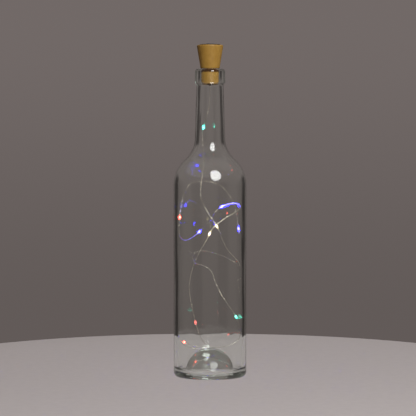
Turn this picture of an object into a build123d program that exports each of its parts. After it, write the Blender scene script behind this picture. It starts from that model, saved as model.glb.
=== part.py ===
# Cork bottle light: a clear wine bottle closed by a battery stopper shaped like a cork, with a fine
# wire of LED drops lying in loose loops inside the glass.
# Millimetres, +Z up. The origin is the middle of the bottle's foot, on the surface that it stands on.
from build123d import *

import os
from math import cos, pi, radians, sin, sqrt, tan

os.makedirs("parts", exist_ok=True)

# Bottle, outside
bottle_height = 304.0
body_diameter = 72.0
shoulder_height = 189.5
shoulder_radius = 34.0
neck_root_radius = 26.0
neck_root_diameter = 29.8
neck_top_diameter = 26.4
lip_diameter = 29.6
lip_height = 14.3
lip_rounding = 3.0
lip_under_rounding = 0.9
heel_radius = 4.0

# Bottle, inside and underneath
glass_wall = 3.5
mouth_diameter = 18.5
mouth_depth = 6.0
mouth_rounding = 1.2
floor_glass = 5.0
floor_corner_radius = 6.0
punt_inset = 12.0
punt_height = 27.8
punt_crown_glass = 7.6
punt_foot_glass = 3.1
punt_lift = 1.6
punt_rounding = 2.4
bearing_width = 4.0

# Stopper, outside
cork_top_diameter = 26.4
cork_head_height = 23.4
cork_rim_rounding = 1.2
plug_length = 14.4
plug_rounding = 1.6
seat_clearance = 0.2
plug_clearance = 0.65

# Stopper, inside
plug_wall = 1.8
plug_floor = 1.8
web_thickness = 1.2
tube_wall = 1.35
tube_top_ring = 1.0
head_fit = 0.1
head_socket_depth = 6.0
window_inset = 1.0

# Button cells and contacts
cell_count = 3
cell_diameter = 11.6
cell_height = 5.4
cell_cap_diameter = 9.4
cell_cap_height = 0.5
cell_clearance = 0.15
contact_thickness = 0.3
negative_contact_diameter = 10.4
negative_contact_height = 2.1
positive_contact_diameter = 7.0
positive_contact_height = 0.8
contact_tip_diameter = 3.6
strip_width = 2.0
strip_thickness = 0.3
strip_foot = 2.4
strip_clearance = 0.1

# Circuit board and push switch
board_thickness = 1.0
board_inset = 0.1
switch_side = 6.0
switch_height = 2.6
switch_cover_thickness = 0.4
switch_floor = 0.4
switch_travel = 0.8
switch_over_travel = 0.2
plunger_diameter = 2.8
plunger_flange_diameter = 3.3
plunger_clearance = 0.15
plunger_grip = 1.0
chip_size = (2.9, 1.6, 1.1)
resistor_size = (1.6, 0.8, 0.45)
capacitor_size = (1.6, 0.8, 0.8)
component_ring_radius = 5.0

# Top cap and button
cap_diameter = 20.4
cap_thickness = 2.0
cap_seat_depth = 1.3
cap_ledge = 0.9
cap_clearance = 0.1
cap_edge_rounding = 0.4
cap_skirt_depth = 1.5
cap_skirt_wall = 1.2
switch_room = 1.0
button_diameter = 8.0
button_proud = 0.6
button_clearance = 0.25
button_rounding = 0.4

# Leads and strain relief
lead_diameter = 0.6
lead_groove_clearance = 0.1
lead_spacing = 6.0
lead_end_spacing = 0.9
lead_drop = 2.0
lead_bend_radius = 1.6
relief_flange_diameter = 5.2
relief_flange_thickness = 0.8
relief_neck_diameter = 3.0
relief_clearance = 0.05
relief_collar_diameter = 6.0
relief_collar_height = 0.8
relief_length = 1.8
relief_tip_diameter = 1.6

# LED string
wire_diameter = 0.6
arc_share = 0.45
drop_diameter = 2.3
drop_length = 5.0
drop_clearance = 0.3
led_chip_length = 1.6
led_chip_width = 0.9
led_chip_thickness = 0.45
led_chip_gap = 0.07
led_chip_clearance = 0.02

# How far an edge may lie from the height that it is looked for at
level_tolerance = 0.01

# Places that follow from the sizes above
body_radius = body_diameter / 2
punt_diameter = body_diameter - 2 * punt_inset
mouth_radius = mouth_diameter / 2
neck_root_r = neck_root_diameter / 2
neck_top_r = neck_top_diameter / 2
lip_under_z = bottle_height - lip_height
shoulder_centre_r = body_radius - shoulder_radius
root_centre_r = neck_root_r + neck_root_radius
curve_reach = shoulder_radius + neck_root_radius
neck_root_z = shoulder_height + sqrt(curve_reach**2 - (root_centre_r - shoulder_centre_r) ** 2)

head_top_z = bottle_height + cork_head_height
head_top_r = cork_top_diameter / 2
seat_z = bottle_height - mouth_rounding
seat_r = mouth_radius - seat_clearance
plug_r = mouth_radius - plug_clearance
plug_bottom_z = bottle_height - plug_length
cone_slope = (head_top_r - seat_r) / (head_top_z - seat_z)
parting_z = seat_z - (seat_r - plug_r) / cone_slope

battery_bore_r = cell_diameter / 2 + cell_clearance
tube_r = battery_bore_r + tube_wall
socket_r = tube_r + head_fit
socket_top_z = parting_z + head_socket_depth
cap_seat_z = head_top_z - cap_seat_depth
cap_r = cap_diameter / 2
cap_top_z = cap_seat_z + cap_thickness
ledge_r = cap_r - cap_ledge
switch_top_z = cap_seat_z - switch_room
board_top_z = switch_top_z - switch_height
board_bottom_z = board_top_z - board_thickness
board_r = tube_r - board_inset
stack_top_z = board_bottom_z - positive_contact_height
stack_bottom_z = stack_top_z - cell_count * cell_height
contact_bottom_z = stack_bottom_z - negative_contact_height
web_top_z = contact_bottom_z - strip_thickness
web_bottom_z = web_top_z - web_thickness
floor_top_z = plug_bottom_z + plug_floor
cavity_r = plug_r - plug_wall
relief_end_z = plug_bottom_z - relief_length
window_bottom_z = max(web_top_z, parting_z + window_inset)
window_top_z = board_bottom_z - tube_top_ring
lead_r = lead_diameter / 2
lead_ring_r = tube_r - lead_r
lead_x = lead_spacing / 2
lead_y = sqrt(lead_ring_r**2 - lead_x**2)
groove_r = lead_r + lead_groove_clearance
groove_bottom_z = web_bottom_z - 2 * lead_drop

# The wire's route, from the strain relief to its free end past the last drop. Each drop sits at the
# middle of the run that starts at its point.
route = [
    (0, 0, relief_end_z),
    (0, 0, 277),
    (-0.8, -0.5, 265),
    (-4.4, -1.5, 254),
    (-8.2, -2.5, 239),
    (-6.5, -5.5, 224),
    (-6, -10.5, 208),
    (-8.6, -16.5, 193),
    (-9.6, -20.5, 178),
    (-4, -22.6, 167),
    (0.3, -23.6, 159.5),
    (4, -24.2, 154.4),
    (8.8, -24.4, 145.8),
    (12, -24, 136.3),
    (16.5, -22.2, 126.5),
    (25, -16.5, 117.5),
    (30.4, -4, 110),
    (29.6, 10, 109),
    (22, 21.5, 114),
    (9, 29, 120),
    (-5, 30.2, 123),
    (-14, 27, 122.5),
    (-19, 23.6, 115.8),
    (-14.5, 26.6, 109),
    (-5.5, 30, 107.5),
    (1.5, 30.2, 102.5),
    (5, 29.8, 92),
    (10.5, 28, 80),
    (17.5, 24, 70),
    (24.4, 17.6, 61.5),
    (29.8, 10, 53),
    (30.8, -2, 43),
    (26.5, -10, 35),
    (17, -11.5, 31),
    (7, -9, 29.3),
    (-3, -7, 28.7),
    (-12.5, -7, 28),
    (-21.5, -7.5, 29.5),
    (-28.5, -3.5, 33),
    (-30.6, 5, 35.4),
    (-22.6, 15.5, 29.4),
    (-13.5, 20.5, 26.8),
    (-4, 17.5, 26.5),
    (0, 10, 28.3),
    (-2.2, 3, 30),
    (-5.6, -1.8, 33.2),
    (-9.2, -5.6, 39),
    (-12, -8.5, 47),
    (-15.6, -15, 62),
    (-18.8, -19.5, 77),
    (-20.2, -21.8, 93),
    (-17, -24.6, 108.5),
    (-11.5, -27, 122.5),
    (-6.2, -29, 132.1),
    (-2.3, -30, 138.8),
    (1.4, -30.4, 147.6),
    (7.4, -29.6, 153),
    (15.2, -26.6, 158.5),
    (22.5, -21.3, 162.7),
    (28.6, -12, 166.5),
    (31, 2.5, 169.5),
    (26.5, 16, 171),
    (17, 25, 169.5),
    (7.8, 28.2, 164.5),
    (2, 22.4, 157.6),
    (1.5, 6, 154.5),
    (-1, -8, 152.5),
    (-6.4, -21, 148.2),
    (-13.6, -27.8, 141.4),
    (-23, -21, 135),
    (-29.6, -9, 138.5),
    (-31, 0, 150),
    (-30.4, 6, 165),
    (-28, 9.5, 179),
    (-22.5, 15.5, 189.5),
    (-12, 22.5, 193.5),
    (1.5, 25.5, 192.5),
    (14, 22, 187),
    (22, 14.5, 176.5),
    (26.4, 7.5, 163.5),
    (28.8, 1, 151.5),
    (29.2, -2.5, 141.5),
]
drop_runs = [3, 11, 29, 39, 47, 54, 62, 67, 71, 80]


def on_circle(centre, radius, degrees):
    """The point of a circle in a profile's own plane at an angle from its first axis."""
    return centre[0] + radius * cos(radians(degrees)), centre[1] + radius * sin(radians(degrees))


def dome_arc(foot_r, foot_z, crown_z):
    """An arc from a dome's foot to its crown on the axis, with its centre on the axis."""
    rise = crown_z - foot_z
    radius = (foot_r**2 + rise**2) / (2 * rise)
    centre_z = crown_z - radius
    half_way = Vector(foot_r, foot_z - centre_z).normalized() + Vector(0, 1)
    middle = half_way.normalized() * radius
    return ThreePointArc((foot_r, foot_z), (middle.X, centre_z + middle.Y), (0, crown_z))


def rings_at(piece, height):
    """A piece's round edges at a height, the smallest first."""
    level = piece.edges().filter_by_position(Axis.Z, height - level_tolerance, height + level_tolerance)
    return level.filter_by(GeomType.CIRCLE).sort_by(SortBy.RADIUS)


def save(piece, name):
    """Label a finished piece and write it under its node's name."""
    piece.part.label = name
    export_step(piece.part, f"parts/{name}.step")


# Bottle: one turned profile, with the two surfaces of the shoulder and neck on common centres
def shoulder_curves(wall):
    """The shoulder's two arcs, at a depth under the outside."""
    tangent_tilt = Vector(root_centre_r - shoulder_centre_r, neck_root_z - shoulder_height)
    tilt = tangent_tilt.get_angle(Vector(1, 0))
    belly_centre = (shoulder_centre_r, shoulder_height)
    root_centre = (root_centre_r, neck_root_z)
    belly_r = shoulder_radius - wall
    root_r = neck_root_radius + wall
    meeting = on_circle(belly_centre, belly_r, tilt)
    belly = ThreePointArc(
        (body_radius - wall, shoulder_height), on_circle(belly_centre, belly_r, tilt / 2), meeting
    )
    root = ThreePointArc(
        meeting, on_circle(root_centre, root_r, 180 + tilt / 2), (neck_root_r - wall, neck_root_z)
    )
    return belly, root


with BuildPart() as bottle:
    with BuildSketch(Plane.XZ):
        with BuildLine():
            # Outside, from the punt's crown down to the foot and up to the lip
            foot_r = punt_diameter / 2 - punt_foot_glass
            bearing_outer_r = body_radius - heel_radius
            bearing_inner_r = bearing_outer_r - bearing_width
            dome_arc(foot_r, punt_lift, punt_height - punt_crown_glass)
            Line((foot_r, punt_lift), (bearing_inner_r, 0))
            Line((bearing_inner_r, 0), (bearing_outer_r, 0))
            heel_centre = (bearing_outer_r, heel_radius)
            ThreePointArc(
                (bearing_outer_r, 0), on_circle(heel_centre, heel_radius, -45), (body_radius, heel_radius)
            )
            Line((body_radius, heel_radius), (body_radius, shoulder_height))
            shoulder_curves(0)
            lip_r = lip_diameter / 2
            Polyline(
                (neck_root_r, neck_root_z),
                (neck_top_r, lip_under_z),
                (lip_r, lip_under_z),
                (lip_r, bottle_height),
                (mouth_radius, bottle_height),
            )
            # Inside, from the mouth down to the top of the punt
            bore_r = neck_root_r - glass_wall
            Polyline(
                (mouth_radius, bottle_height),
                (mouth_radius, bottle_height - mouth_depth),
                (bore_r, neck_root_z),
            )
            shoulder_curves(glass_wall)
            inner_r = body_radius - glass_wall
            corner_centre = (inner_r - floor_corner_radius, floor_glass + floor_corner_radius)
            Line((inner_r, shoulder_height), (inner_r, corner_centre[1]))
            ThreePointArc(
                (inner_r, corner_centre[1]),
                on_circle(corner_centre, floor_corner_radius, -45),
                (corner_centre[0], floor_glass),
            )
            Line((corner_centre[0], floor_glass), (punt_diameter / 2, floor_glass))
            dome_arc(punt_diameter / 2, floor_glass, punt_height)
            Line((0, punt_height), (0, punt_height - punt_crown_glass))
        make_face()
    revolve(axis=Axis.Z)
    mouth_edge, lip_edge = rings_at(bottle, bottle_height)
    fillet(mouth_edge, mouth_rounding)
    fillet(lip_edge, lip_rounding)
    fillet(rings_at(bottle, lip_under_z)[-1], lip_under_rounding)
    fillet(rings_at(bottle, floor_glass)[0], punt_rounding)
    fillet(rings_at(bottle, punt_lift)[0], punt_rounding)
save(bottle, "bottle")

# Cork plug: the plug in the mouth, with the battery trough standing on it
with BuildPart() as cork_plug:
    with BuildSketch(Plane.XY.offset(plug_bottom_z)):
        Circle(plug_r)
    extrude(amount=parting_z - plug_bottom_z)
    fillet(cork_plug.edges().group_by(Axis.Z)[0], plug_rounding)
    with BuildSketch(Plane.XY.offset(parting_z)):
        Circle(tube_r)
    extrude(amount=board_bottom_z - parting_z)
    with BuildSketch(Plane.XY.offset(web_top_z)):
        Circle(battery_bore_r)
    extrude(amount=board_bottom_z - web_top_z, mode=Mode.SUBTRACT)
    with BuildSketch(Plane.XY.offset(floor_top_z)):
        Circle(cavity_r)
    extrude(amount=web_bottom_z - floor_top_z, mode=Mode.SUBTRACT)
    with BuildSketch(Plane.XY.offset(window_bottom_z)):
        with Locations((0, -window_inset)):
            Rectangle(2 * battery_bore_r, 2 * tube_r, align=(Align.CENTER, Align.MAX))
    extrude(amount=window_top_z - window_bottom_z, mode=Mode.SUBTRACT)
    with BuildSketch(Plane.XY.offset(web_top_z)):
        with Locations((0, battery_bore_r + strip_thickness + strip_clearance)):
            Rectangle(strip_width + 2 * strip_clearance, strip_width, align=(Align.CENTER, Align.MAX))
    extrude(amount=board_bottom_z - web_top_z, mode=Mode.SUBTRACT)
    with BuildSketch(Plane.XY.offset(groove_bottom_z)):
        with Locations((lead_x, lead_y), (-lead_x, lead_y)):
            Circle(groove_r)
    extrude(amount=board_bottom_z - groove_bottom_z, mode=Mode.SUBTRACT)
    with BuildSketch(Plane.XY.offset(plug_bottom_z)):
        Circle(relief_neck_diameter / 2 + relief_clearance)
    extrude(amount=plug_floor, mode=Mode.SUBTRACT)
save(cork_plug, "cork_plug")

# Cork head: the tapered shell that lifts off over the battery trough
with BuildPart() as cork_head:
    with BuildSketch(Plane.XZ):
        with BuildLine():
            Polyline(
                (socket_r, parting_z),
                (plug_r, parting_z),
                (head_top_r, head_top_z),
                (cap_r + cap_clearance, head_top_z),
                (cap_r + cap_clearance, cap_seat_z),
                (ledge_r, cap_seat_z),
                (socket_r, socket_top_z),
                close=True,
            )
        make_face()
    revolve(axis=Axis.Z)
    fillet(rings_at(cork_head, head_top_z)[-1], cork_rim_rounding)
save(cork_head, "cork_head")

# Top cap: the dark disc in the head's rim, with a skirt that snaps into the head
cavity_slope = (ledge_r - socket_r) / (cap_seat_z - socket_top_z)
skirt_r = ledge_r - cavity_slope * cap_skirt_depth - cap_clearance
with BuildPart() as top_cap:
    with BuildSketch(Plane.XY.offset(cap_seat_z)):
        Circle(cap_r)
    extrude(amount=cap_thickness)
    fillet(top_cap.edges().group_by(Axis.Z)[-1], cap_edge_rounding)
    with BuildSketch(Plane.XY.offset(cap_seat_z)):
        Circle(skirt_r)
        Circle(skirt_r - cap_skirt_wall, mode=Mode.SUBTRACT)
    extrude(amount=-cap_skirt_depth)
    with BuildSketch(Plane.XY.offset(cap_seat_z)):
        Circle(button_diameter / 2 + button_clearance)
    extrude(amount=cap_thickness, mode=Mode.SUBTRACT)
save(top_cap, "top_cap")

# Push switch on the board: base, cover and the plunger that the cover keeps in
plunger_r = plunger_diameter / 2
flange_r = plunger_flange_diameter / 2
cover_bottom_z = switch_top_z - switch_cover_thickness
flange_top_z = cover_bottom_z - plunger_clearance
flange_bottom_z = board_top_z + switch_floor + switch_over_travel + switch_travel
button_bottom_z = switch_top_z + switch_travel + switch_over_travel
with BuildPart() as switch_base:
    with BuildSketch(Plane.XY.offset(board_top_z)):
        Rectangle(switch_side, switch_side)
    extrude(amount=cover_bottom_z - board_top_z)
    with BuildSketch(Plane.XY.offset(board_top_z + switch_floor)):
        Circle(flange_r + plunger_clearance)
    extrude(amount=cover_bottom_z - board_top_z - switch_floor, mode=Mode.SUBTRACT)
save(switch_base, "switch_base")

with BuildPart() as switch_cover:
    with BuildSketch(Plane.XY.offset(cover_bottom_z)):
        Rectangle(switch_side, switch_side)
        Circle(plunger_r + plunger_clearance, mode=Mode.SUBTRACT)
    extrude(amount=switch_cover_thickness)
save(switch_cover, "switch_cover")

with BuildPart() as switch_plunger:
    with BuildSketch(Plane.XY.offset(flange_bottom_z)):
        Circle(flange_r)
    extrude(amount=flange_top_z - flange_bottom_z)
    with BuildSketch(Plane.XY.offset(flange_top_z)):
        Circle(plunger_r)
    extrude(amount=button_bottom_z + plunger_grip - flange_top_z)
save(switch_plunger, "switch_plunger")

with BuildPart() as push_button:
    with BuildSketch(Plane.XY.offset(button_bottom_z)):
        Circle(button_diameter / 2)
    extrude(amount=cap_top_z + button_proud - button_bottom_z)
    fillet(push_button.edges().group_by(Axis.Z)[-1], button_rounding)
    with BuildSketch(Plane.XY.offset(button_bottom_z)):
        Circle(plunger_r)
    extrude(amount=plunger_grip, mode=Mode.SUBTRACT)
save(push_button, "push_button")

# Circuit board and the parts soldered on it, around the switch
with BuildPart() as circuit_board:
    with BuildSketch(Plane.XY.offset(board_bottom_z)):
        Circle(board_r)
    extrude(amount=board_thickness)
save(circuit_board, "circuit_board")

board_components = {
    "controller_chip": (chip_size, 90),
    "resistor": (resistor_size, 210),
    "capacitor": (capacitor_size, 330),
}
for component_name, (component_size, bearing) in board_components.items():
    place = on_circle((0, 0), component_ring_radius, bearing)
    seat = Plane((place[0], place[1], board_top_z), x_dir=(-sin(radians(bearing)), cos(radians(bearing)), 0))
    with BuildPart() as component:
        with BuildSketch(seat):
            Rectangle(component_size[0], component_size[1])
        extrude(amount=component_size[2])
    save(component, component_name)


# Contacts: two dished washers and the strip that joins the lower one to the board
def dished_washer(base_z, height, base_diameter):
    """A profile half of a spring washer that rises, or with a negative height falls, from its base."""
    skin = contact_thickness if height > 0 else -contact_thickness
    tip_r = contact_tip_diameter / 2
    base_r = base_diameter / 2
    Polyline(
        (base_r, base_z),
        (base_r, base_z + skin),
        (tip_r, base_z + height),
        (0, base_z + height),
        (0, base_z + height - skin),
        (tip_r - contact_thickness, base_z + height - skin),
        (base_r - contact_thickness, base_z),
        close=True,
    )


with BuildPart() as negative_contact:
    with BuildSketch(Plane.XZ):
        with BuildLine():
            dished_washer(contact_bottom_z, negative_contact_height, negative_contact_diameter)
        make_face()
    revolve(axis=Axis.Z)
save(negative_contact, "negative_contact")

with BuildPart() as positive_contact:
    with BuildSketch(Plane.XZ):
        with BuildLine():
            dished_washer(board_bottom_z, -positive_contact_height, positive_contact_diameter)
        make_face()
    revolve(axis=Axis.Z)
save(positive_contact, "positive_contact")

with BuildPart() as negative_strip:
    with BuildSketch(Plane.XY.offset(web_top_z)):
        with Locations((0, battery_bore_r)):
            Rectangle(strip_width, strip_thickness, align=(Align.CENTER, Align.MIN))
    extrude(amount=board_bottom_z - web_top_z)
    with BuildSketch(Plane.XY.offset(web_top_z)):
        with Locations((0, battery_bore_r)):
            Rectangle(strip_width, strip_foot, align=(Align.CENTER, Align.MAX))
    extrude(amount=strip_thickness)
save(negative_strip, "negative_strip")

# Button cells: each can with its smaller negative cap below
for cell_number in range(cell_count):
    cell_z = stack_bottom_z + cell_number * cell_height
    with BuildPart() as button_cell:
        with BuildSketch(Plane.XY.offset(cell_z)):
            Circle(cell_cap_diameter / 2)
        extrude(amount=cell_cap_height)
        with BuildSketch(Plane.XY.offset(cell_z + cell_cap_height)):
            Circle(cell_diameter / 2)
        extrude(amount=cell_height - cell_cap_height)
    save(button_cell, f"button_cell_{cell_number + 1}")

# Strain relief: a flange inside the plug's floor, a neck through it and a taper below
relief_collar_z = plug_bottom_z - relief_collar_height
with BuildPart() as strain_relief:
    with BuildSketch(Plane.XZ):
        with BuildLine():
            Polyline(
                (0, floor_top_z + relief_flange_thickness),
                (relief_flange_diameter / 2, floor_top_z + relief_flange_thickness),
                (relief_flange_diameter / 2, floor_top_z),
                (relief_neck_diameter / 2, floor_top_z),
                (relief_neck_diameter / 2, plug_bottom_z),
                (relief_collar_diameter / 2, plug_bottom_z),
                (relief_collar_diameter / 2, relief_collar_z),
                (relief_tip_diameter / 2, relief_end_z),
                (0, relief_end_z),
                close=True,
            )
        make_face()
    revolve(axis=Axis.Z)
save(strain_relief, "strain_relief")

# Leads: from the board, down the trough's grooves and in to the strain relief
for lead_name, side in (("lead_positive", 1), ("lead_negative", -1)):
    relief_top_z = floor_top_z + relief_flange_thickness
    lead_points = [
        (side * lead_x, lead_y, board_bottom_z),
        (side * lead_x, lead_y, web_bottom_z - lead_drop),
        (side * lead_end_spacing / 2, 0, relief_top_z + lead_drop),
        (side * lead_end_spacing / 2, 0, relief_top_z),
    ]
    with BuildPart() as lead:
        with BuildLine() as lead_path:
            FilletPolyline(*lead_points, radius=lead_bend_radius)
        with BuildSketch(Plane(lead_points[0], z_dir=(0, 0, -1))):
            Circle(lead_r)
        sweep(path=lead_path.line)
    save(lead, lead_name)

# Wire of the LED string: straight runs joined by the widest arcs that the runs leave room for
wire_r = wire_diameter / 2
points = [Vector(*point) for point in route]
runs = [after - before for before, after in zip(points, points[1:])]
bends = []
for before, after in zip(runs, runs[1:]):
    half_turn = radians(before.get_angle(after)) / 2
    bends.append(arc_share * min(before.length, after.length) / tan(half_turn))
print("wire bend radii:", [round(bend, 1) for bend in bends])

with BuildPart() as string_wire:
    with BuildLine() as wire_path:
        FilletPolyline(*points, radius=bends)
    with BuildSketch(Plane(points[0], z_dir=runs[0])):
        Circle(wire_r)
    sweep(path=wire_path.line)
wire_length = wire_path.wires()[0].length
print(f"wire length {wire_length:.1f}, volume {string_wire.part.volume:.2f}")
print(f"section times length {pi * wire_r**2 * wire_length:.2f}")
save(string_wire, "string_wire")

# LED drops: a resin drop around the wire at the middle of its run, with its chip beside the wire
drop_bore_r = wire_r + drop_clearance
led_seat_r = wire_r + led_chip_gap
for drop_number, run_number in enumerate(drop_runs, start=1):
    middle = (points[run_number] + points[run_number + 1]) / 2
    along = runs[run_number].normalized()
    across = along.cross(Vector(0, 0, 1)).normalized()
    section = Plane(middle, x_dir=across, z_dir=across.cross(along))
    led_plane = Plane(middle + across * led_seat_r, x_dir=along, z_dir=across)
    with BuildPart() as led_drop:
        with BuildSketch(section):
            with BuildLine():
                drop_ends = ((drop_bore_r, -drop_length / 2), (drop_bore_r, drop_length / 2))
                ThreePointArc(drop_ends[0], (drop_diameter / 2, 0), drop_ends[1])
                Line(drop_ends[1], drop_ends[0])
            make_face()
        revolve(axis=Axis(middle, along))
        with BuildSketch(Plane(middle, x_dir=along, z_dir=across)):
            Rectangle(led_chip_length + 2 * led_chip_clearance, led_chip_width + 2 * led_chip_clearance)
        extrude(amount=led_seat_r + led_chip_thickness + led_chip_clearance, mode=Mode.SUBTRACT)
    save(led_drop, f"led_drop_{drop_number:02d}")
    with BuildPart() as led_chip:
        with BuildSketch(led_plane):
            Rectangle(led_chip_length, led_chip_width)
        extrude(amount=led_chip_thickness)
    save(led_chip, f"led_chip_{drop_number:02d}")
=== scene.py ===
"""The cork bottle light, dressed around its frame: clear glass, moulded cork, lit drops and their wire.

Metres, +Z up, in the frame of the CAD model: the origin is the middle of the bottle's foot.
"""

import math
from collections import namedtuple

import bmesh
import bpy
from mathutils import Matrix, Vector, noise


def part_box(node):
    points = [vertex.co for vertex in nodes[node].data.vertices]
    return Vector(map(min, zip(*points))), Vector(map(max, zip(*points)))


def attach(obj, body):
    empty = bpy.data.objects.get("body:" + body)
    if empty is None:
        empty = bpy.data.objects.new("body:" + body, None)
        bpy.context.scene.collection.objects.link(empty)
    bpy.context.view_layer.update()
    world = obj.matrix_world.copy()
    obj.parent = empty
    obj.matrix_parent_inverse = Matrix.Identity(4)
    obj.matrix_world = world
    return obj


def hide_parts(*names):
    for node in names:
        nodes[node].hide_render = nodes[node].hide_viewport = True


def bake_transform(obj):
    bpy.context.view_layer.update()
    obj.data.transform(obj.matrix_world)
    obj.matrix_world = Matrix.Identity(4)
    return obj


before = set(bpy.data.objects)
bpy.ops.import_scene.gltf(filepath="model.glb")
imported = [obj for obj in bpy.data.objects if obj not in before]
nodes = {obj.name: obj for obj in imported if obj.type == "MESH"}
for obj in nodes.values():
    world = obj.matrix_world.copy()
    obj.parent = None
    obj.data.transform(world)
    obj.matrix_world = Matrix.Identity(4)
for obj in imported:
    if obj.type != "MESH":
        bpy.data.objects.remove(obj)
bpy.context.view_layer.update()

# Camera, level with the bottle's neck and looking a little down. Lens and sensor are in millimetres
CAMERA_PLACE = (-0.0020, -1.7103, 0.2447)
CAMERA_TILT_DOWN = 2.61
CAMERA_LENS = 149.8
CAMERA_SENSOR = 36.0
CAMERA_REACH = 20.0

# Bottle
BODY_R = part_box("bottle")[1].x
BOTTLE_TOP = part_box("bottle")[1].z
GLASS_WALL = 0.0035
SHOULDER_Z = 0.1895
SHOULDER_R = 0.034
NECK_ROOT_CURVE = 0.026
NECK_ROOT_R = 0.0149
NECK_TOP_R = 0.0132
LIP_R = 0.0148
LIP_HEIGHT = 0.0143
LIP_ROUNDING = 0.003
LIP_UNDER_ROUNDING = 0.0009
LIP_ROOT_ROUNDING = 0.0006
MOUTH_R = 0.00925
MOUTH_DEPTH = 0.006
MOUTH_ROUNDING = 0.0012
MOUTH_BEND_ABOVE = 0.002
MOUTH_BEND_BELOW = 0.003
MOUTH_BEND_FLARE = 0.0001
HEEL_R = 0.004
BEARING_WIDTH = 0.004
BEARING_EDGE_IN = 0.0016
BEARING_EDGE_LIFT = 0.0003
BEARING_EDGE_OUT = 0.0008
FLOOR_GLASS = 0.005
FLOOR_CORNER = 0.006
PUNT_R = 0.024
PUNT_TOP = 0.0278
PUNT_CROWN_GLASS = 0.0076
PUNT_FOOT_GLASS = 0.0031
PUNT_LIFT = 0.0016
PUNT_ROUNDING = 0.0024

# What follows from the bottle's sizes
BEARING_OUT_R = BODY_R - HEEL_R
BEARING_IN_R = BEARING_OUT_R - BEARING_WIDTH
SHOULDER_CENTRE = (BODY_R - SHOULDER_R, SHOULDER_Z)
NECK_ROOT_OUT = NECK_ROOT_R + NECK_ROOT_CURVE - SHOULDER_CENTRE[0]
NECK_ROOT_UP = math.sqrt((SHOULDER_R + NECK_ROOT_CURVE) ** 2 - NECK_ROOT_OUT**2)
NECK_ROOT_CENTRE = (NECK_ROOT_R + NECK_ROOT_CURVE, SHOULDER_Z + NECK_ROOT_UP)
SHOULDER_TURN = math.degrees(math.atan2(NECK_ROOT_UP, NECK_ROOT_OUT))
LIP_FOOT = BOTTLE_TOP - LIP_HEIGHT
MOUTH_FOOT = BOTTLE_TOP - MOUTH_DEPTH

# Steps along the stretches of the bottle's profile, columns round it, and degrees from a seam to its columns
WALL_STEPS = 40
SHOULDER_STEPS = 24
NECK_ROOT_STEPS = 18
NECK_STEPS = 16
DOME_STEPS = 24
HEEL_STEPS = 12
LIP_STEPS = 10
MOUTH_STEPS = 8
LIP_UNDER_STEPS = 6
PUNT_FOOT_STEPS = 6
BEARING_STEPS = 5
BEARING_EDGE_STEPS = 4
MOUTH_BEND_STEPS = 4
LIP_ROOT_STEPS = 3
GLASS_COLUMNS = 288
SEAM_COLUMNS = (0.3, 0.6)

# The glass's unevenness: waves with finer ripples inside, mould seams outside and knurls under the foot
WAVE_HEIGHT = 0.00022
WAVES_ROUND = 1.6
WAVES_UP = 14
WAVE_FADE = 0.02
RIPPLE_SHARE = 0.4
RIPPLE_FINENESS = 2.7
SEAM_HEIGHT = 0.00012
SEAM_WIDTH = 0.0004
KNURLS = 72
KNURL_DEPTH = 0.0006
KNURL_TOP = 0.0028

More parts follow.
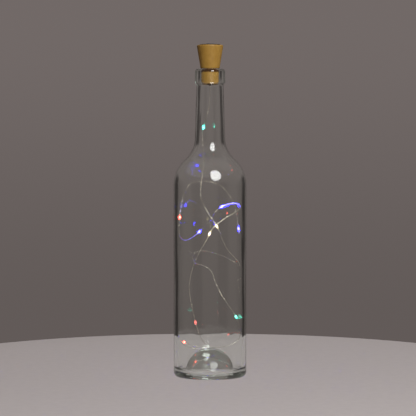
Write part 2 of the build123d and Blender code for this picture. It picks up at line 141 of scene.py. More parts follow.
# LED string: the route of the wire, whose runs between these points carry the drops
ROUTE = [
    (0, 0, 0.2878),
    (0, 0, 0.277),
    (-0.0008, -0.0005, 0.265),
    (-0.0044, -0.0015, 0.254),
    (-0.0082, -0.0025, 0.239),
    (-0.0065, -0.004, 0.224),
    (-0.006, -0.0045, 0.208),
    (-0.0086, -0.007, 0.193),
    (-0.0096, -0.0145, 0.178),
    (-0.004, -0.0226, 0.167),
    (0.0003, -0.0236, 0.1595),
    (0.004, -0.0242, 0.1544),
    (0.0088, -0.0244, 0.1458),
    (0.012, -0.024, 0.1363),
    (0.0165, -0.0222, 0.1265),
    (0.025, -0.0165, 0.1175),
    (0.0304, -0.004, 0.11),
    (0.0296, 0.01, 0.109),
    (0.022, 0.0125, 0.114),
    (0.009, 0.0195, 0.12),
    (-0.005, 0.0225, 0.123),
    (-0.014, 0.0255, 0.1225),
    (-0.019, 0.0236, 0.1158),
    (-0.0145, 0.0266, 0.109),
    (-0.0055, 0.03, 0.1075),
    (0.0015, 0.0302, 0.1025),
    (0.005, 0.0298, 0.092),
    (0.0105, 0.028, 0.08),
    (0.0175, 0.024, 0.07),
    (0.0244, 0.0176, 0.0615),
    (0.0298, 0.01, 0.053),
    (0.0308, -0.002, 0.043),
    (0.0265, -0.01, 0.035),
    (0.017, -0.0115, 0.031),
    (0.007, -0.009, 0.0293),
    (-0.003, -0.007, 0.0287),
    (-0.0125, -0.007, 0.028),
    (-0.0215, -0.0075, 0.0295),
    (-0.0285, -0.0035, 0.033),
    (-0.0306, 0.005, 0.0354),
    (-0.0226, 0.0155, 0.0294),
    (-0.0135, 0.0205, 0.0268),
    (-0.004, 0.0175, 0.0265),
    (0, 0.01, 0.0283),
    (-0.0022, 0.003, 0.03),
    (-0.0056, -0.0018, 0.0332),
    (-0.0092, -0.0056, 0.039),
    (-0.012, -0.0085, 0.047),
    (-0.0156, -0.015, 0.062),
    (-0.0188, -0.0115, 0.077),
    (-0.0197, -0.0175, 0.0845),
    (-0.0202, -0.015, 0.093),
    (-0.017, -0.025, 0.1085),
    (-0.0115, -0.0205, 0.1225),
    (-0.0062, -0.0265, 0.1321),
    (-0.0023, -0.03, 0.1388),
    (0.0014, -0.0304, 0.1476),
    (0.0074, -0.027, 0.153),
    (0.0152, -0.0235, 0.1585),
    (0.0225, -0.019, 0.1627),
    (0.0286, -0.012, 0.1665),
    (0.031, 0.0025, 0.1695),
    (0.0265, 0.016, 0.171),
    (0.017, 0.025, 0.1695),
    (0.0078, 0.0282, 0.1645),
    (0.002, 0.0224, 0.1576),
    (0.0015, 0.006, 0.1545),
    (-0.001, -0.008, 0.1525),
    (-0.0064, -0.021, 0.1482),
    (-0.0136, -0.0278, 0.1414),
    (-0.023, -0.021, 0.135),
    (-0.0296, -0.009, 0.1385),
    (-0.031, 0, 0.15),
    (-0.0304, 0.006, 0.165),
    (-0.028, 0.0095, 0.179),
    (-0.0225, 0.0085, 0.1895),
    (-0.012, 0.0165, 0.1935),
    (0.0015, 0.0235, 0.1925),
    (0.014, 0.019, 0.187),
    (0.022, 0.0145, 0.1765),
    (0.0264, 0.0075, 0.1635),
    (0.0288, 0.001, 0.1515),
    (0.0292, -0.0025, 0.1415),
]
ROUTE_FINENESS = 16
STRAND_R = 0.00012
STRAND_OFFSET = 0.00014
STRAND_PITCH = 0.011
STRAND_SIDES = 8

# Each LED: the run that carries its drop, its colour, how far along the wire before and after it its
# light is painted on the wire as glow, and how strongly
Led = namedtuple("Led", "run colour reach_before reach_after strength")
LEDS = [
    Led(3, "teal", 0.007, 0.006, 1.0),
    Led(11, "white", 0.008, 0.006, 1.0),
    Led(29, "green", 0.006, 0.006, 1.0),
    Led(39, "red", 0.004, 0.008, 1.0),
    Led(47, "dim_red", 0.003, 0.003, 1.0),
    Led(55, "white", 0.014, 0.055, 1.0),
    Led(63, "blue", 0.045, 0.004, 6.0),
    Led(68, "blue", 0.006, 0.034, 0.6),
    Led(72, "red", 0.004, 0.005, 1.0),
    Led(81, "blue", 0.007, 0.006, 1.0),
]
# Each colour of light: at the chip and the waist of its drop, at the drop's tips, and painted on the wire
# beside it as glow
Light = namedtuple("Light", "core tips wire")
LED_LIGHT = {
    "teal": Light((0.22, 4.0, 3.2), (0.001, 0.52, 0.40), (0.0, 0.42, 0.32)),
    "green": Light((0.35, 4.0, 3.0), (0.001, 0.52, 0.38), (0.0, 0.36, 0.25)),
    "blue": Light((1.1, 1.0, 60.0), (0.03, 0.025, 16.0), (0.34, 0.30, 3.0)),
    "red": Light((10.0, 0.9, 0.55), (1.2, 0.035, 0.03), (0.40, 0.03, 0.03)),
    "dim_red": Light((0.70, 0.075, 0.065), (0.42, 0.04, 0.035), (0.20, 0.03, 0.03)),
    "white": Light((0.95, 0.82, 0.44), (0.55, 0.46, 0.22), (0.60, 0.54, 0.38)),
}
DROP_HALF_LENGTH = 0.0025
DROP_R = 0.00115
DROP_TIP_R = 0.0004
DROP_SWELL = 0.75
DROP_LEAN = 0.00008
DROP_LEAN_BACK = 0.4
DROP_CORE_REACH = 0.0012
DROP_STEPS = 20
DROP_COLUMNS = 24
CHIP_SIZE = (0.0016, 0.0009, 0.00045)
CHIP_OFFSET = 0.00037
CHIP_EDGE = 0.00006
CHIP_EDGE_STEPS = 2

# The band of the cork that the bottle's mouth grips, painted darker as the shade that the glass lip throws
# on it, and the share of its colour that the painted shade leaves
SEAT_DEPTH = 0.0030
SEAT_RISE = 0.0004
SEAT_LOW = BOTTLE_TOP - SEAT_DEPTH
SEAT_HIGH = BOTTLE_TOP + SEAT_RISE
SEAT_SOFT = 0.0005
SEAT_SHADE_KEEP = (0.16, 0.10, 0.04)

# Stage floor
STAGE_R = 0.36
STAGE_EDGE = 0.006
STAGE_DEPTH = 0.02
STAGE_GAP = 0.0001
STAGE_COLOUR = (0.49, 0.455, 0.45)
STAGE_STEPS = 6
STAGE_COLUMNS = 192

# Room. The pairs are ranges of a direction's X, Y or Z over which the room changes
ROOM_LOW = (0.122, 0.103, 0.098)
ROOM_HIGH = (0.167, 0.142, 0.136)
ROOM_RISE = (-0.12, 0.07)
ROOM_CORNER = (0.41, 0.50)
ROOM_CORNER_TOP = (0.1, 0.2)
ROOM_CORNER_FOOT = (-0.17, -0.11)
ROOM_CORNER_DARK = 0.26
FILL_FRONT = (-0.4, 0)
FILL_SIDE = (-0.7, 0.1)
FILL_LEFT = 0.2
FILL_RIGHT = 2.0

# Lamps: degrees to the right of the camera and up, distance from what they aim at, width and height, watts
SOFT_BOX = {"bearing": 20, "elevation": 34, "distance": 1.6, "size": (0.95, 1.12), "power": 23}
BACK_LIGHT = {"bearing": 180, "elevation": 35, "distance": 1.8, "size": (1.2, 1.2), "power": 10}
LAMP_AIM = (0, 0, 0.19)

# Points of a profile this near to the axis or to each other count as on it or as one
ON_AXIS = 1e-7
SAME_POINT = 1e-6


# Mesh helpers
def new_piece(name, mesh_maker, smooth=True):
    """An object from what a bmesh maker builds, with its faces turned outwards."""
    shape = bmesh.new()
    mesh_maker(shape)
    bmesh.ops.recalc_face_normals(shape, faces=shape.faces)
    mesh = bpy.data.meshes.new(name)
    shape.to_mesh(mesh)
    shape.free()
    for face in mesh.polygons:
        face.use_smooth = smooth
    piece = bpy.data.objects.new(name, mesh)
    bpy.context.scene.collection.objects.link(piece)
    return piece


def arc(centre, radius, first, last, steps):
    """Points of an arc in a turned profile, between two angles in degrees."""
    angles = [math.radians(first + (last - first) * step / steps) for step in range(steps + 1)]
    return [(centre[0] + radius * math.cos(a), centre[1] + radius * math.sin(a)) for a in angles]


def line(start, stop, steps):
    """Points of a straight stretch of a turned profile."""
    shares = [step / steps for step in range(steps + 1)]
    return [tuple(a + (b - a) * share for a, b in zip(start, stop)) for share in shares]


def soft_corner(before, corner, after, steps):
    """Points that round a profile's corner between a point before it and one after it."""
    points = []
    for step in range(steps + 1):
        share = step / steps
        first = Vector(before).lerp(Vector(corner), share)
        second = Vector(corner).lerp(Vector(after), share)
        points.append(tuple(first.lerp(second, share)))
    return points


def joined(*stretches):
    """One profile from its stretches, with no point twice."""
    points = []
    for stretch in stretches:
        for point in stretch:
            if not points or math.dist(point[:2], points[-1][:2]) > SAME_POINT:
                points.append(point)
    return points


def even_angles(count):
    """Angles all the way round."""
    return [2 * math.pi * step / count for step in range(count)]


def bridge(shape, lower, upper):
    """Faces between two rows of vertices that go all the way round, one of which may be a pole."""
    count = max(len(lower), len(upper))
    for column in range(count):
        after = (column + 1) % count
        if len(lower) == 1:
            shape.faces.new((lower[0], upper[after], upper[column]))
        elif len(upper) == 1:
            shape.faces.new((lower[column], lower[after], upper[0]))
        else:
            shape.faces.new((lower[column], lower[after], upper[after], upper[column]))


def turned(profile, angles, offset=None):
    """A bmesh maker that turns a profile about the Z axis. A point on the axis becomes a pole."""
    def make(shape):
        rows = []
        for point in profile:
            r, z = point[:2]
            if r < ON_AXIS:
                rows.append([shape.verts.new((0, 0, z))])
                continue
            row = []
            for angle in angles:
                grow, lift = offset(point, angle) if offset else (0, 0)
                place = ((r + grow) * math.cos(angle), (r + grow) * math.sin(angle), z + lift)
                row.append(shape.verts.new(place))
            rows.append(row)
        for lower, upper in zip(rows, rows[1:]):
            bridge(shape, lower, upper)
    return make


def set_attribute(piece, name, kind, field, values):
    """Give each vertex of a piece its value of a new attribute."""
    attribute = piece.data.attributes.new(name, kind, "POINT")
    for entry, value in zip(attribute.data, values):
        setattr(entry, field, value)


# Node helpers
def feed(tree, socket, value):
    """Give an input its value: a constant, or another node's output."""
    if isinstance(value, bpy.types.NodeSocket):
        tree.links.new(value, socket)
    else:
        socket.default_value = value


def math_node(tree, operation, *values):
    """A math node's result, from outputs and numbers."""
    node = tree.nodes.new("ShaderNodeMath")
    node.operation = operation
    for socket, value in zip(node.inputs, values):
        feed(tree, socket, value)
    return node.outputs["Value"]


def map_range(tree, value, from_range, to_range):
    """A value eased from one range to another."""
    node = tree.nodes.new("ShaderNodeMapRange")
    node.interpolation_type = "SMOOTHSTEP"
    tree.links.new(value, node.inputs["Value"])
    for socket, end in zip(("From Min", "From Max", "To Min", "To Max"), (*from_range, *to_range)):
        feed(tree, node.inputs[socket], end)
    return node.outputs["Result"]


def mix_colours(tree, factor, first, second, blend="MIX"):
    """The mix of two colours by a factor."""
    mix = tree.nodes.new("ShaderNodeMix")
    mix.data_type = "RGBA"
    mix.blend_type = blend
    tree.links.new(factor, mix.inputs["Factor"])
    sockets = [socket for socket in mix.inputs if socket.type == "RGBA"]
    for socket, colour in zip(sockets, (first, second)):
        feed(tree, socket, colour)
    return next(socket for socket in mix.outputs if socket.type == "RGBA")


def axes_of(tree, node_type, output):
    """The X, Y and Z of a place or a direction that a new node puts out."""
    split = tree.nodes.new("ShaderNodeSeparateXYZ")
    tree.links.new(tree.nodes.new(node_type).outputs[output], split.inputs["Vector"])
    return split.outputs


# Material helpers
def new_material(name, **sockets):
    """A material with one Principled shader, its constants set on the shader's own sockets."""
    material = bpy.data.materials.new(name)
    material.use_nodes = True
    shader = material.node_tree.nodes["Principled BSDF"]
    for socket, value in sockets.items():
        shader.inputs[socket.replace("_", " ")].default_value = value
    return material


def noise_node(material, scale, detail=3.0, roughness=0.55, stretch=(1, 1, 1)):
    """A noise texture in the piece's own coordinates."""
    tree = material.node_tree
    place = tree.nodes.new("ShaderNodeTexCoord")
    mapping = tree.nodes.new("ShaderNodeMapping")
    mapping.inputs["Scale"].default_value = stretch
    texture = tree.nodes.new("ShaderNodeTexNoise")
    texture.inputs["Scale"].default_value = scale
    texture.inputs["Detail"].default_value = detail
    texture.inputs["Roughness"].default_value = roughness
    tree.links.new(place.outputs["Object"], mapping.inputs["Vector"])
    tree.links.new(mapping.outputs["Vector"], texture.inputs["Vector"])
    return texture


def colour_from(material, texture, stops):
    """Drive the base colour by a texture through a ramp of (place, colour) stops."""
    tree = material.node_tree
    ramp = tree.nodes.new("ShaderNodeValToRGB")
    ramp.color_ramp.elements.remove(ramp.color_ramp.elements[1])
    for number, (place, colour) in enumerate(stops):
        stop = ramp.color_ramp.elements[0] if number == 0 else ramp.color_ramp.elements.new(place)
        stop.position = place
        stop.color = (*colour, 1)
    tree.links.new(texture.outputs["Fac"], ramp.inputs["Fac"])
    tree.links.new(ramp.outputs["Color"], tree.nodes["Principled BSDF"].inputs["Base Color"])


def roughness_from(material, texture, low, high):
    """Drive the roughness by a texture between two values."""
    tree = material.node_tree
    spread = tree.nodes.new("ShaderNodeMapRange")
    spread.inputs["To Min"].default_value = low
    spread.inputs["To Max"].default_value = high
    tree.links.new(texture.outputs["Fac"], spread.inputs["Value"])
    tree.links.new(spread.outputs["Result"], tree.nodes["Principled BSDF"].inputs["Roughness"])


def bump_from(material, texture, height, strength):
    """Drive the surface's bump by a texture, with a height in metres."""
    tree = material.node_tree
    bump = tree.nodes.new("ShaderNodeBump")
    bump.inputs["Strength"].default_value = strength
    bump.inputs["Distance"].default_value = height
    tree.links.new(texture.outputs["Fac"], bump.inputs["Height"])
    tree.links.new(bump.outputs["Normal"], tree.nodes["Principled BSDF"].inputs["Normal"])


def lit_from(material, attribute, tips=None, core=None):
    """Drive the emission by a mesh attribute: its own colour, or its share from one colour to another."""
    tree = material.node_tree
    node = tree.nodes.new("ShaderNodeAttribute")
    node.attribute_name = attribute
    colour = node.outputs["Color"]
    if core:
        colour = mix_colours(tree, node.outputs["Fac"], (*tips, 1), (*core, 1))
    shader = tree.nodes["Principled BSDF"]
    shader.inputs["Emission Strength"].default_value = 1.0
    tree.links.new(colour, shader.inputs["Emission Color"])


def dimmed(colour, share):
    """A colour with a share of its light."""
    return tuple(share * part for part in colour)


def dress(piece, material):
    """Make a material the only one of a piece."""
    piece.data.materials.clear()
    piece.data.materials.append(material)


# Materials
def glass_material():
    """Clear flint glass with the faintest unevenness of its blown skin, greenish where it is deep."""
    material = new_material(
        "clear_glass", Base_Color=(0.99, 0.995, 0.99, 1), Transmission_Weight=1.0, IOR=1.5, Roughness=0.0
    )
    skin = noise_node(material, scale=60, detail=2.0, roughness=0.4, stretch=(1, 1, 0.35))
    bump_from(material, skin, height=0.0001, strength=0.05)
    tree = material.node_tree
    depth = tree.nodes.new("ShaderNodeVolumeAbsorption")
    depth.inputs["Color"].default_value = (0.45, 0.84, 0.58, 1)
    depth.inputs["Density"].default_value = 10.0
    tree.links.new(depth.outputs["Volume"], tree.nodes["Material Output"].inputs["Volume"])
    return material


def cork_material():
    """Satin moulded plastic in a cork tan, a little mottled and finely grained."""
    material = new_material("cork_tan", Specular_IOR_Level=0.4)
    colour_from(material, noise_node(material, scale=260, detail=5.0, roughness=0.6), [
        (0.30, (0.350, 0.193, 0.035)),
        (0.50, (0.392, 0.222, 0.043)),
        (0.72, (0.428, 0.250, 0.054)),
    ])
    roughness_from(material, noise_node(material, scale=500), low=0.38, high=0.5)
    bump_from(material, noise_node(material, scale=2200, detail=2.0), height=0.00004, strength=0.35)
    # Painted shade: a dark band where the bottle's mouth grips the cork
    paint_seat_shade(material)
    return material


def paint_seat_shade(material):
    """Paint shade on the band of the cork where the bottle's mouth grips it, for the shadow that the glass
    lip and the cork's head throw there.
    """
    tree = material.node_tree
    base = tree.nodes["Principled BSDF"].inputs["Base Color"]
    height = axes_of(tree, "ShaderNodeTexCoord", "Object")["Z"]
    above = map_range(tree, height, (SEAT_LOW - SEAT_SOFT, SEAT_LOW), (0, 1))
    below = map_range(tree, height, (SEAT_HIGH, SEAT_HIGH + SEAT_SOFT), (1, 0))
    band = math_node(tree, "MULTIPLY", above, below)
    # The painted shade multiplies the cork's colour in the band
    seat_shade = mix_colours(tree, band, base.links[0].from_socket, (*SEAT_SHADE_KEEP, 1), "MULTIPLY")
    tree.links.new(seat_shade, base)


def plastic_material(name, colour, low=0.35, high=0.5):
    """Moulded plastic with a fine grain, its roughness between two values."""
    material = new_material(name, Specular_IOR_Level=0.45)
    mottle = noise_node(material, scale=400, detail=4.0)
    colour_from(material, mottle, [(0.35, dimmed(colour, 0.8)), (0.65, colour)])
    roughness_from(material, noise_node(material, scale=700), low, high)
    bump_from(material, noise_node(material, scale=3000, detail=2.0), height=0.00003, strength=0.4)
    return material


def metal_material(name, colour, low=0.2, high=0.38):
    """Plated or bright metal with fine rubbing marks, its roughness between two values."""
    material = new_material(name, Metallic=1.0)
    mottle = noise_node(material, scale=500, detail=4.0, roughness=0.6)
    colour_from(material, mottle, [(0.3, dimmed(colour, 0.82)), (0.7, colour)])
    roughness_from(material, noise_node(material, scale=900, roughness=0.6), low, high)
    return material


def wire_material():
    """Fine silvery wire under a thin lacquer, with the light that the drops beside it throw on it painted on
    as glow.
    """
    material = new_material("silver_wire", Metallic=0.9, Specular_IOR_Level=0.5)
    mottle = noise_node(material, scale=700, detail=4.0)
    colour_from(material, mottle, [(0.3, (0.74, 0.68, 0.56)), (0.7, (0.88, 0.83, 0.72))])
    roughness_from(material, noise_node(material, scale=900), low=0.14, high=0.25)
    # Painted light: the wire glows where the drops beside it would light it
    lit_from(material, "painted_drop_light")
    return material


def resin_material(colour):
    """Clear epoxy that the chip inside fills with its light."""
    light = LED_LIGHT[colour]
    material = new_material(f"resin_{colour}", Transmission_Weight=0.92, IOR=1.5, Roughness=0.1)
    pale = tuple(0.75 + 0.25 * min(1.0, part) for part in light.tips)
    colour_from(material, noise_node(material, scale=900), [(0.3, pale), (0.7, (0.97, 0.97, 0.96))])
    bump_from(material, noise_node(material, scale=700, detail=2.0), height=0.0001, strength=0.2)
    lit_from(material, "waist", light.tips, light.core)
    return material


def chip_material(colour):
    """The lit face of a chip."""
    core = LED_LIGHT[colour].core
    material = new_material(
        f"chip_{colour}", Roughness=0.3, Emission_Color=(*core, 1), Emission_Strength=1.0
    )
    hue = tuple(part / max(core) for part in core)
    colour_from(material, noise_node(material, scale=3000), [(0.3, hue), (0.7, (0.9, 0.85, 0.6))])
    return material


def stage_material():
    """A matt pale surface, hardly mottled."""
    material = new_material("stage", Roughness=0.85, Specular_IOR_Level=0.2)
    mottle = noise_node(material, scale=120, detail=4.0)
    colour_from(material, mottle, [(0.35, dimmed(STAGE_COLOUR, 0.96)), (0.65, STAGE_COLOUR)])
    return material


# Bottle
def under_profile():
    """The punt's underside, from the axis down its dome and out to the bearing ring."""
    foot_r = PUNT_R - PUNT_FOOT_GLASS
    crown = PUNT_TOP - PUNT_CROWN_GLASS
    rise = crown - PUNT_LIFT
    dome_r = (foot_r**2 + rise**2) / (2 * rise)
    dome_z = crown - dome_r
    foot_angle = math.degrees(math.atan2(PUNT_LIFT - dome_z, foot_r))
    round_angle = foot_angle + math.degrees(PUNT_ROUNDING / dome_r)
    dome = arc((0, dome_z), dome_r, 90, round_angle, DOME_STEPS)
    foot = Vector((foot_r, PUNT_LIFT))
    slope = Vector((BEARING_IN_R - foot_r, -PUNT_LIFT)).normalized()
    return joined(
        dome,
        soft_corner(dome[-1], foot, foot + slope * PUNT_ROUNDING, PUNT_FOOT_STEPS),
        soft_corner(
            (BEARING_IN_R - BEARING_EDGE_IN, BEARING_EDGE_LIFT),
            (BEARING_IN_R, 0),
            (BEARING_IN_R + BEARING_EDGE_OUT, 0),
            BEARING_EDGE_STEPS,
        ),
    )


def foot_profile():
    """The bearing ring and the heel's rounding."""
    return joined(
        line((BEARING_IN_R + BEARING_EDGE_OUT, 0), (BEARING_OUT_R, 0), BEARING_STEPS),
        arc((BEARING_OUT_R, HEEL_R), HEEL_R, -90, 0, HEEL_STEPS),
    )


def outside_profile():
    """The outside, from the heel up the wall, the shoulder and the neck to the lip."""
    neck_top = (NECK_TOP_R, LIP_FOOT - LIP_ROOT_ROUNDING)
    return joined(
        line((BODY_R, HEEL_R), (BODY_R, SHOULDER_Z), WALL_STEPS),
        arc(SHOULDER_CENTRE, SHOULDER_R, 0, SHOULDER_TURN, SHOULDER_STEPS),
        arc(NECK_ROOT_CENTRE, NECK_ROOT_CURVE, 180 + SHOULDER_TURN, 180, NECK_ROOT_STEPS),
        line((NECK_ROOT_R, NECK_ROOT_CENTRE[1]), neck_top, NECK_STEPS),
    )


def lip_profile():
    """The lip ring and the mouth's rounding."""
    under = (LIP_R - LIP_UNDER_ROUNDING, LIP_FOOT + LIP_UNDER_ROUNDING)
    top = (LIP_R - LIP_ROUNDING, BOTTLE_TOP - LIP_ROUNDING)
    mouth = (MOUTH_R + MOUTH_ROUNDING, BOTTLE_TOP - MOUTH_ROUNDING)
    return joined(
        soft_corner(
            (NECK_TOP_R, LIP_FOOT - LIP_ROOT_ROUNDING),
            (NECK_TOP_R, LIP_FOOT),
            (NECK_TOP_R + LIP_ROOT_ROUNDING, LIP_FOOT),
            LIP_ROOT_STEPS,
        ),
        arc(under, LIP_UNDER_ROUNDING, -90, 0, LIP_UNDER_STEPS),
        arc(top, LIP_ROUNDING, 0, 90, LIP_STEPS),
        arc(mouth, MOUTH_ROUNDING, 90, 180, MOUTH_STEPS),
    )


def inside_profile():
    """The inside, from the mouth down the neck and the wall to the floor, and up the punt to the axis."""
    neck_top = (MOUTH_R + MOUTH_BEND_FLARE, MOUTH_FOOT - MOUTH_BEND_BELOW)
    neck_foot = (NECK_ROOT_R - GLASS_WALL, NECK_ROOT_CENTRE[1])
    inner_r = BODY_R - GLASS_WALL
    corner = (inner_r - FLOOR_CORNER, FLOOR_GLASS + FLOOR_CORNER)
    rise = PUNT_TOP - FLOOR_GLASS
    dome_r = (PUNT_R**2 + rise**2) / (2 * rise)
    round_angle = math.degrees(PUNT_ROUNDING / dome_r)
    dome = arc((0, PUNT_TOP - dome_r), dome_r, round_angle, 90, DOME_STEPS)
    return joined(
        soft_corner(
            (MOUTH_R, MOUTH_FOOT + MOUTH_BEND_ABOVE),
            (MOUTH_R, MOUTH_FOOT),
            neck_top,
            MOUTH_BEND_STEPS,
        ),
        line(neck_top, neck_foot, NECK_STEPS),
        arc(NECK_ROOT_CENTRE, NECK_ROOT_CURVE + GLASS_WALL, 180, 180 + SHOULDER_TURN, NECK_ROOT_STEPS),
        arc(SHOULDER_CENTRE, SHOULDER_R - GLASS_WALL, SHOULDER_TURN, 0, SHOULDER_STEPS),
        line((inner_r, SHOULDER_Z), (inner_r, corner[1]), WALL_STEPS),
        arc(corner, FLOOR_CORNER, 0, -90, HEEL_STEPS),
        soft_corner(
            (PUNT_R + PUNT_ROUNDING, FLOOR_GLASS),
            (PUNT_R, FLOOR_GLASS),
            dome[0],
            PUNT_FOOT_STEPS,
        ),
        dome,
    )


def bottle_profile():
    """The whole profile, from axis to axis. Each point also carries the surface that it belongs to."""
    surfaces = {
        "under": under_profile(),
        "foot": foot_profile(),
        "outside": outside_profile(),
        "lip": lip_profile(),
        "inside": inside_profile(),
    }
    return joined(*[[(*point, surface) for point in points] for surface, points in surfaces.items()])


def bottle_offset(point, angle):
    """How far out and up the glass leaves its true profile: waves, knurls under the foot and seams."""
    r, z, surface = point
    if surface == "inside":
        place = Vector((WAVES_ROUND * math.cos(angle), WAVES_ROUND * math.sin(angle), WAVES_UP * z))
        fade = min(1.0, max(0.0, (MOUTH_FOOT - z) / WAVE_FADE))
        wave = noise.noise(place) + RIPPLE_SHARE * noise.noise(RIPPLE_FINENESS * place)
        return WAVE_HEIGHT * fade * wave, 0
    if surface == "foot" and z < KNURL_TOP:
        fade = 1 - z / KNURL_TOP
        return 0, KNURL_DEPTH * fade * (0.5 - 0.5 * math.cos(KNURLS * angle))
    if surface in ("outside", "lip"):
        from_seam = r * abs(math.asin(math.sin(angle)))
        return SEAM_HEIGHT * math.exp(-((from_seam / SEAM_WIDTH) ** 2)), 0
    return 0, 0


def make_bottle():
    """The bottle, turned from its profile with extra columns along its two mould seams.

    It casts no shadow and lets scattered light through, so that what is inside it is lit.
    """
    angles = even_angles(GLASS_COLUMNS)
    for seam in (0, math.pi):
        angles += [seam + side * math.radians(step) for side in (-1, 1) for step in SEAM_COLUMNS]
    angles = sorted(angle % (2 * math.pi) for angle in angles)
    bottle = new_piece("bottle_glass", turned(bottle_profile(), angles, bottle_offset))
    dress(bottle, glass_material())
    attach(bottle, "bottle")
    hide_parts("bottle")
    bottle.visible_shadow = False
    bottle.visible_diffuse = False


# LED string
def route_points():
    """Points along the wire's smooth line, read from a spline with the route as its control points."""
    data = bpy.data.curves.new("route", "CURVE")
    data.dimensions = "3D"
    data.resolution_u = ROUTE_FINENESS
    spline = data.splines.new("NURBS")
    spline.points.add(len(ROUTE) - 1)
    for control, place in zip(spline.points, ROUTE):
        control.co = (*place, 1)
    spline.order_u = 3
    spline.use_endpoint_u = True
    carrier = bpy.data.objects.new("route", data)
    bpy.context.scene.collection.objects.link(carrier)
    bpy.context.view_layer.update()
    mesh = bpy.data.meshes.new_from_object(carrier.evaluated_get(bpy.context.evaluated_depsgraph_get()))
    points = [vertex.co.copy() for vertex in mesh.vertices]
    bpy.data.objects.remove(carrier)
    bpy.data.meshes.remove(mesh)
    return points


def across(angle, side, other):
    """The direction at an angle between two that cross the wire."""
    return math.cos(angle) * side + math.sin(angle) * other


def strand_places(points, phase):
    """The centre of a strand that winds along the points, each with two directions across it."""
    side = Vector((1, 0, 0))
    travelled = 0
    for number, point in enumerate(points):
        before = points[max(number - 1, 0)]
        after = points[min(number + 1, len(points) - 1)]
        along = (after - before).normalized()
        side = (side - along * side.dot(along)).normalized()
        other = along.cross(side)
        travelled += (point - before).length
        turn = phase + 2 * math.pi * travelled / STRAND_PITCH
        yield point + STRAND_OFFSET * across(turn, side, other), side, other


def make_wire(points):
    """Two fine strands twisted along the route."""
    angles = even_angles(STRAND_SIDES)

    def make(shape):
        for phase in (0, math.pi):
            rows = []
            for centre, side, other in strand_places(points, phase):
                edge = [centre + STRAND_R * across(angle, side, other) for angle in angles]
                rows.append([shape.verts.new(place) for place in edge])
            for lower, upper in zip(rows, rows[1:]):
                bridge(shape, lower, upper)
            shape.faces.new(rows[0])
            shape.faces.new(rows[-1])
    wire = new_piece("twin_wire", make)
    # Painted light from the drops, kept on the wire's vertices
    lights = [(*light, 1) for light in painted_light_along(points)]
    rows = [light for light in lights + lights for side in range(STRAND_SIDES)]
    set_attribute(wire, "painted_drop_light", "FLOAT_COLOR", "color", rows)
    return wire


def painted_light_along(points):
    """The light painted on each point of the wire for the drops on it, fading with distance along the wire.
    """
    travelled = [0]
    for before, after in zip(points, points[1:]):
        travelled.append(travelled[-1] + (after - before).length)
    lights = [Vector((0, 0, 0)) for point in points]
    for led in LEDS:
        centre = drop_frame(led.run).translation
        nearest = min(range(len(points)), key=lambda number: (points[number] - centre).length)
        for number, distance in enumerate(travelled):
            from_drop = distance - travelled[nearest]
            reach = led.reach_after if from_drop > 0 else led.reach_before
            share = led.strength * max(0, 1 - abs(from_drop) / reach)
            lights[number] += share * Vector(LED_LIGHT[led.colour].wire)
    return lights


def drop_frame(run):
    """The place of a drop: the middle of its run, with Z along the wire and X towards its chip."""
    start, stop = Vector(ROUTE[run]), Vector(ROUTE[run + 1])
    along = (stop - start).normalized()
    side = along.cross(Vector((0, 0, 1))).normalized()
    turn = Matrix((side, along.cross(side), along)).transposed()
    return Matrix.Translation((start + stop) / 2) @ turn.to_4x4()


def drop_profile():
    """The outline of a drop that tapers on to the wire at both ends."""
    profile = [(0, -DROP_HALF_LENGTH)]
    for step in range(DROP_STEPS + 1):
        share = -1 + 2 * step / DROP_STEPS
        swell = max(0.0, math.cos(share * math.pi / 2)) ** DROP_SWELL
        profile.append((DROP_TIP_R + (DROP_R - DROP_TIP_R) * swell, share * DROP_HALF_LENGTH))
    profile.append((0, DROP_HALF_LENGTH))
    return profile


def drop_offset(point, angle):
    """How far a drop leans over its chip."""
    bulge = (point[0] - DROP_TIP_R) / (DROP_R - DROP_TIP_R)
    return DROP_LEAN * bulge * (math.cos(angle) - DROP_LEAN_BACK), 0


def make_drop(name, run):
    """A drop of epoxy, which also carries how near each of its points is to its waist."""
    drop = new_piece(name, turned(drop_profile(), even_angles(DROP_COLUMNS), drop_offset))
    waist = [max(0, 1 - (vertex.co.z / DROP_CORE_REACH) ** 2) ** 2 for vertex in drop.data.vertices]
    set_attribute(drop, "waist", "FLOAT", "value", waist)
    drop.data.transform(drop_frame(run))
    return drop


def make_chip(name, run):
    """A chip beside the wire, with its edges broken."""
    def make(shape):
        length, width, thickness = CHIP_SIZE
        bmesh.ops.create_cube(shape, size=1)
        bmesh.ops.scale(shape, vec=(thickness, width, length), verts=shape.verts)
        bmesh.ops.translate(shape, vec=(CHIP_OFFSET + thickness / 2, 0, 0), verts=shape.verts)
        bmesh.ops.bevel(
            shape, geom=shape.edges, offset=CHIP_EDGE, segments=CHIP_EDGE_STEPS, profile=0.5, affect="EDGES"
        )
    chip = new_piece(name, make, smooth=False)
    chip.data.transform(drop_frame(run))
    return chip


def make_led_string():
    """The wire with all its drops."""
    points = route_points()
    wire = make_wire(points)
    dress(wire, wire_material())
    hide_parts("string_wire")
    resins = {colour: resin_material(colour) for colour in LED_LIGHT}
    lit = {colour: chip_material(colour) for colour in LED_LIGHT}
    lights = []
    for number, led in enumerate(LEDS, start=1):
        drop = make_drop(f"drop_{number:02d}", led.run)
        dress(drop, resins[led.colour])
        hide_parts(f"led_drop_{number:02d}")
        chip = make_chip(f"chip_{number:02d}", led.run)
        dress(chip, lit[led.colour])
        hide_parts(f"led_chip_{number:02d}")
        drop.visible_shadow = False
        lights += [drop, chip]
    for piece in [wire] + lights:
        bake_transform(piece)


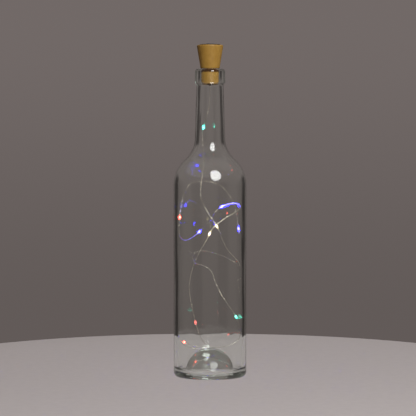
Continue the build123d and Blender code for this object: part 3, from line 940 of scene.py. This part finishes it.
# Stopper
def dress_stopper():
    """Finishes of the stopper's own pieces."""
    cork = cork_material()
    black = plastic_material("black_plastic", (0.030, 0.028, 0.027))
    steel = metal_material("steel", (0.62, 0.61, 0.58))
    cell = metal_material("cell_steel", (0.70, 0.70, 0.69), low=0.15, high=0.3)
    finishes = {
        "cork_head": cork,
        "cork_plug": cork,
        "top_cap": black,
        "push_button": black,
        "strain_relief": plastic_material("relief_brown", (0.13, 0.085, 0.045)),
        "switch_base": black,
        "switch_plunger": black,
        "controller_chip": black,
        "switch_cover": steel,
        "negative_contact": steel,
        "negative_strip": steel,
        "positive_contact": steel,
        "button_cell_1": cell,
        "button_cell_2": cell,
        "button_cell_3": cell,
        "circuit_board": plastic_material("board_green", (0.03, 0.16, 0.07), low=0.25, high=0.4),
        "resistor": plastic_material("chip_dark", (0.05, 0.05, 0.055)),
        "capacitor": plastic_material("chip_ceramic", (0.30, 0.24, 0.18)),
        "lead_positive": plastic_material("lead_red", (0.5, 0.03, 0.02)),
        "lead_negative": plastic_material("lead_black", (0.02, 0.02, 0.02)),
    }
    for node, material in finishes.items():
        dress(nodes[node], material)


# Stage
def make_floor():
    """A plain pale round floor."""
    top = -STAGE_GAP
    edge_r = STAGE_R - STAGE_EDGE
    profile = joined(
        line((0, top), (edge_r, top), STAGE_STEPS),
        arc((edge_r, top - STAGE_EDGE), STAGE_EDGE, 90, 0, STAGE_STEPS),
        [(STAGE_R, top - STAGE_DEPTH), (0, top - STAGE_DEPTH)],
    )
    floor = new_piece("stage_floor", turned(profile, even_angles(STAGE_COLUMNS)))
    dress(floor, stage_material())


def room_shade(tree, way):
    """How bright the room is each way: darker at eye level in its corners, where the glass's edges look."""
    above = map_range(tree, way["Z"], ROOM_CORNER_TOP, (ROOM_CORNER_DARK, 1))
    below = map_range(tree, way["Z"], ROOM_CORNER_FOOT, (1, ROOM_CORNER_DARK))
    corner_shade = math_node(tree, "MAXIMUM", above, below)
    sides = [math_node(tree, "ABSOLUTE", way[axis]) for axis in "XY"]
    corner = math_node(tree, "MINIMUM", *sides)
    return map_range(tree, corner, ROOM_CORNER, (1, corner_shade))


def room_fill(tree, way):
    """The fill from the front, stronger on the right, which lights surfaces and isn't seen itself."""
    side = map_range(tree, way["X"], FILL_SIDE, (FILL_LEFT, FILL_RIGHT))
    front = map_range(tree, way["Y"], FILL_FRONT, (side, 1))
    lighting = tree.nodes.new("ShaderNodeLightPath").outputs["Is Diffuse Ray"]
    return math_node(tree, "MULTIPLY_ADD", lighting, math_node(tree, "SUBTRACT", front, 1), 1)


def make_room():
    """A plain grey room, darker low down and in its corners, with a soft fill from the front."""
    world = bpy.data.worlds.new("room")
    bpy.context.scene.world = world
    world.use_nodes = True
    tree = world.node_tree
    background = tree.nodes["Background"]
    way = axes_of(tree, "ShaderNodeTexCoord", "Generated")
    ramp = tree.nodes.new("ShaderNodeValToRGB")
    ramp.color_ramp.elements[0].color = (*ROOM_LOW, 1)
    ramp.color_ramp.elements[1].color = (*ROOM_HIGH, 1)
    tree.links.new(map_range(tree, way["Z"], ROOM_RISE, (0, 1)), ramp.inputs["Fac"])
    tree.links.new(ramp.outputs["Color"], background.inputs["Color"])
    strength = math_node(tree, "MULTIPLY", room_shade(tree, way), room_fill(tree, way))
    tree.links.new(strength, background.inputs["Strength"])


def add_light(name, bearing, elevation, distance, size, power):
    """A soft oval lamp, at a bearing to the right of the camera's and an elevation in degrees."""
    data = bpy.data.lights.new(name, "AREA")
    data.shape = "ELLIPSE"
    data.size, data.size_y = size
    data.energy = power
    lamp = bpy.data.objects.new(name, data)
    bpy.context.scene.collection.objects.link(lamp)
    up = math.radians(elevation)
    away = Matrix.Rotation(math.radians(bearing), 3, "Z") @ Vector((0, -math.cos(up), math.sin(up)))
    lamp.location = Vector(LAMP_AIM) + distance * away
    lamp.rotation_euler = away.to_track_quat("Z", "Y").to_euler()
    return lamp


def mask_octagon(data):
    """Trim an oval lamp to the eight sides of a folding soft box, in its own coordinates from 0 to 1."""
    middle = 0.5
    data.use_nodes = True
    tree = data.node_tree
    place = axes_of(tree, "ShaderNodeNewGeometry", "Parametric")
    from_middle = [math_node(tree, "SUBTRACT", place[axis], middle) for axis in "XY"]
    sides = [math_node(tree, "ABSOLUTE", distance) for distance in from_middle]
    slant = math_node(tree, "MULTIPLY", math_node(tree, "ADD", *sides), math.sqrt(0.5))
    reach = math_node(tree, "MAXIMUM", math_node(tree, "MAXIMUM", *sides), slant)
    lit = math_node(tree, "LESS_THAN", reach, middle * math.cos(math.pi / 8))
    tree.links.new(lit, tree.nodes["Emission"].inputs["Strength"])


def add_lights():
    """An eight-sided soft box near the camera, and a back light that shows in no reflection."""
    soft_box = add_light("soft_box", **SOFT_BOX)
    mask_octagon(soft_box.data)
    back_light = add_light("back_light", **BACK_LIGHT)
    back_light.visible_glossy = False
    back_light.visible_transmission = False


def add_camera():
    """The camera at the photograph's viewing angle."""
    data = bpy.data.cameras.new("camera")
    data.lens = CAMERA_LENS
    data.sensor_width = CAMERA_SENSOR
    data.clip_end = CAMERA_REACH
    camera = bpy.data.objects.new("camera", data)
    bpy.context.scene.collection.objects.link(camera)
    camera.location = CAMERA_PLACE
    camera.rotation_euler = (math.radians(90 - CAMERA_TILT_DOWN), 0, 0)
    bpy.context.scene.camera = camera


add_camera()
make_led_string()
make_bottle()
dress_stopper()
make_floor()
make_room()
add_lights()
bpy.context.scene.view_settings.view_transform = "Standard"

bpy.context.view_layer.update()
